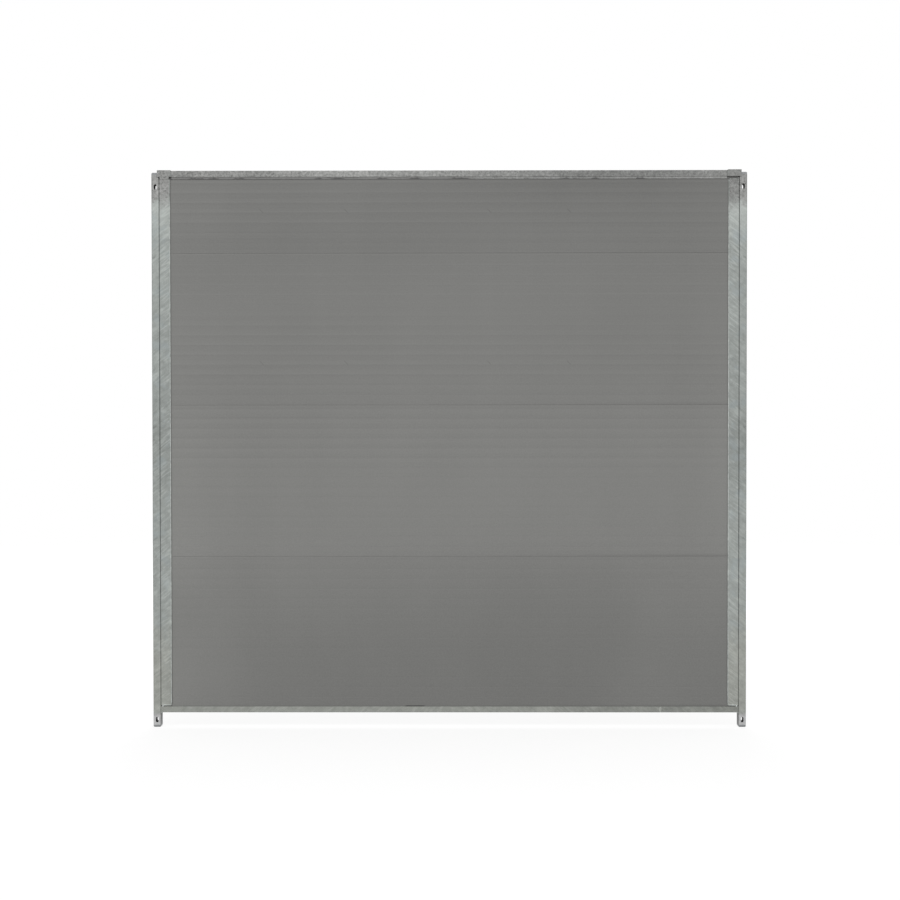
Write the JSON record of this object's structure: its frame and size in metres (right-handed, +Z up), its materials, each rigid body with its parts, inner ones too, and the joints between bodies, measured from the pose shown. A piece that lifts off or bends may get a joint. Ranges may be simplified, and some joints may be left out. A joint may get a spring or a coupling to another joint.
{
  "type": "kennel panel",
  "caption": "Solid kennel partition panel: galvanised steel frame on two short feet, filled with horizontal grey tongue-and-groove plastic planks, with bolt slots in its posts.",
  "frame": {"origin": "on the floor, under the middle of the panel", "axes": "+X along the panel, +Y through the panel from its front to its rear, +Z up"},
  "size_m": [1.96, 0.048, 1.838],
  "materials": {
    "galvanised_steel": "hot-dip galvanised, dull with a faint spangle",
    "sprayed_zinc": "galvanised sheet with a mottled zinc spray over the welded ends",
    "weld_metal": "weld beads under zinc, slightly rough",
    "plank_plastic": "extruded plastic, mid grey, satin with faint lines over the ribs",
    "plug_plastic": "moulded plastic, grey, matt"
  },
  "bodies": {
    "root": {"left_post": "galvanised_steel", "right_post": "galvanised_steel", "left_side_channel": "galvanised_steel", "right_side_channel": "galvanised_steel", "bottom_rail": "galvanised_steel", "top_rail": "sprayed_zinc", "left_rail_strap": "sprayed_zinc", "right_rail_strap": "sprayed_zinc", "left_post_welds": "weld_metal", "right_post_welds": "weld_metal", "left_channel_welds": "weld_metal", "right_channel_welds": "weld_metal", "bottom_plank": "plank_plastic", "second_plank": "plank_plastic", "third_plank": "plank_plastic", "top_plank": "plank_plastic", "left_foot_plug": "plug_plastic", "right_foot_plug": "plug_plastic", "left_top_plug": "plug_plastic", "right_top_plug": "plug_plastic"}
  },
  "joints": []
}
